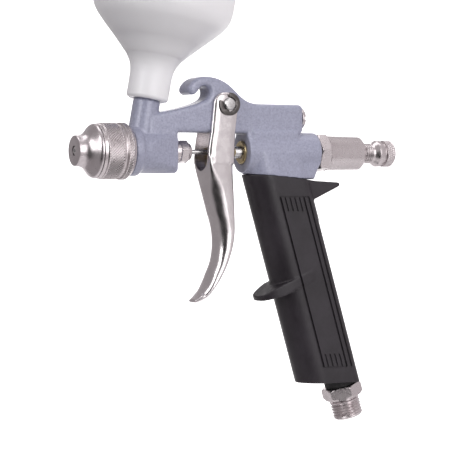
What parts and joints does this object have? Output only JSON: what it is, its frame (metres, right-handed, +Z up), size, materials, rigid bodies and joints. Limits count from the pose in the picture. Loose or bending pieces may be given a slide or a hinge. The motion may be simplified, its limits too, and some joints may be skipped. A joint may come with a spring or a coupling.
{
  "type": "hvlp spray gun",
  "caption": "Gravity-feed air spray gun: cast body with hanging hook, curled trigger, knurled nozzle ring, top paint cup, slanted grip and threaded air inlet.",
  "frame": {"origin": "centre of the end face of the male air inlet thread, where the hose coupling meets the gun", "axes": "+Z up with the barrel level, -X the way it sprays, +X toward the adjusting knob, +Y toward the gun's right side; the mid-plane is Y = 0"},
  "size_m": [0.1528, 0.064, 0.2402],
  "materials": {
    "body_paint": "light blue-grey hammertone enamel over a die casting, satin with a fine mottled texture",
    "nickel_plate": "satin nickel plate with bright edges",
    "polished_chrome": "polished chrome, clear reflections",
    "steel": "turned stainless steel",
    "spring_steel": "drawn spring steel wire",
    "dark_steel": "dark oiled spring steel",
    "brass": "turned brass",
    "grip_plastic": "charcoal glass-filled nylon with a fine satin grain",
    "cup_plastic": "milky translucent nylon, soft satin",
    "lid_plastic": "black moulded plastic",
    "seal_plastic": "white PTFE and nylon",
    "rubber": "black rubber"
  },
  "bodies": {
    "gun": {"gun_body": "body_paint", "fluid_nozzle": "steel", "nozzle_gasket": "seal_plastic", "needle_packing": "seal_plastic", "packing_nut": "polished_chrome", "air_valve_gland": "brass", "air_valve_seat": "seal_plastic", "air_valve_spring": "spring_steel", "needle_spring": "spring_steel", "spring_housing": "nickel_plate", "housing_seal": "dark_steel", "channel_plug": "nickel_plate", "trigger_pin": "steel", "trigger_clip": "dark_steel", "grip_sleeve": "grip_plastic", "inlet_collar": "rubber", "air_inlet_nipple": "nickel_plate"},
    "trigger_lever": {"trigger": "polished_chrome", "trigger_roller": "brass"},
    "needle": {"fluid_needle": "steel", "needle_chuck": "brass"},
    "valve_stem": {"air_valve_stem": "steel"},
    "cap": {"air_cap": "polished_chrome", "cap_snap_ring": "spring_steel"},
    "ring": {"air_cap_ring": "nickel_plate"},
    "guide": {"spring_guide": "brass"},
    "knob": {"fluid_knob": "nickel_plate"},
    "seal": {"cup_seal": "rubber"},
    "cup": {"cup_body": "cup_plastic", "cup_strainer": "seal_plastic"},
    "liner": {"lid_liner": "seal_plastic"},
    "lid": {"cup_lid": "lid_plastic"},
    "vent": {"vent_cap": "lid_plastic"}
  },
  "joints": [
    {"name": "trigger_pull", "type": "hinge", "parent": "gun", "child": "trigger_lever", "pos_m": [-0.0634, 0, 0.13651], "axis": [0, -1, 0], "range_deg": [0, 11.5], "stiffness_Nm_per_rad": 2, "springref_deg": -8.59},
    {"name": "needle_slide", "type": "slide", "parent": "gun", "child": "needle", "axis": [1, 0, 0], "range_m": [0, 0.0041], "deforming": ["needle_spring"]},
    {"name": "air_valve_slide", "type": "slide", "parent": "gun", "child": "valve_stem", "axis": [1, 0, 0], "range_m": [0, 0.0041], "deforming": ["air_valve_spring"]},
    {"name": "cap_travel", "type": "slide", "parent": "gun", "child": "cap", "axis": [-1, 0, 0], "range_m": [0, 0.00602]},
    {"name": "ring_turn", "type": "hinge", "parent": "cap", "child": "ring", "pos_m": [-0.1149, 0, 0.11621], "axis": [-1, 0, 0], "range_deg": [0, 1440]},
    {"name": "knob_travel", "type": "slide", "parent": "gun", "child": "guide", "axis": [1, 0, 0], "range_m": [-0.00102, 0.00204]},
    {"name": "knob_turn", "type": "hinge", "parent": "guide", "child": "knob", "pos_m": [0.0161, 0, 0.11621], "axis": [1, 0, 0], "range_deg": [-360, 720]},
    {"name": "cup_travel", "type": "slide", "parent": "gun", "child": "seal", "axis": [0.1822, 0, 0.9833], "range_m": [0, 0.00455]},
    {"name": "cup_turn", "type": "hinge", "parent": "seal", "child": "cup", "pos_m": [-0.09673, 0, 0.14574], "axis": [0.1822, 0, 0.9833], "range_deg": [0, 1080]},
    {"name": "lid_travel", "type": "slide", "parent": "cup", "child": "liner", "axis": [0.1822, 0, 0.9833], "range_m": [0, 0.00405]},
    {"name": "lid_turn", "type": "hinge", "parent": "liner", "child": "lid", "pos_m": [-0.08142, 0, 0.22834], "axis": [0.1822, 0, 0.9833], "range_deg": [0, 480]},
    {"name": "vent_pull", "type": "slide", "parent": "lid", "child": "vent", "axis": [0.1822, 0, 0.9833], "range_m": [0, 0.006]}
  ],
  "couplings": [
    {"joint": "needle_slide", "follows": "trigger_pull", "m_per_rad": 0.0203},
    {"joint": "air_valve_slide", "follows": "trigger_pull", "m_per_rad": 0.0203},
    {"joint": "cap_travel", "follows": "ring_turn", "m_per_rad": 0.00023873},
    {"joint": "knob_travel", "follows": "knob_turn", "m_per_rad": 0.00015915},
    {"joint": "cup_travel", "follows": "cup_turn", "m_per_rad": 0.00023873},
    {"joint": "lid_travel", "follows": "lid_turn", "m_per_rad": 0.00047746}
  ]
}
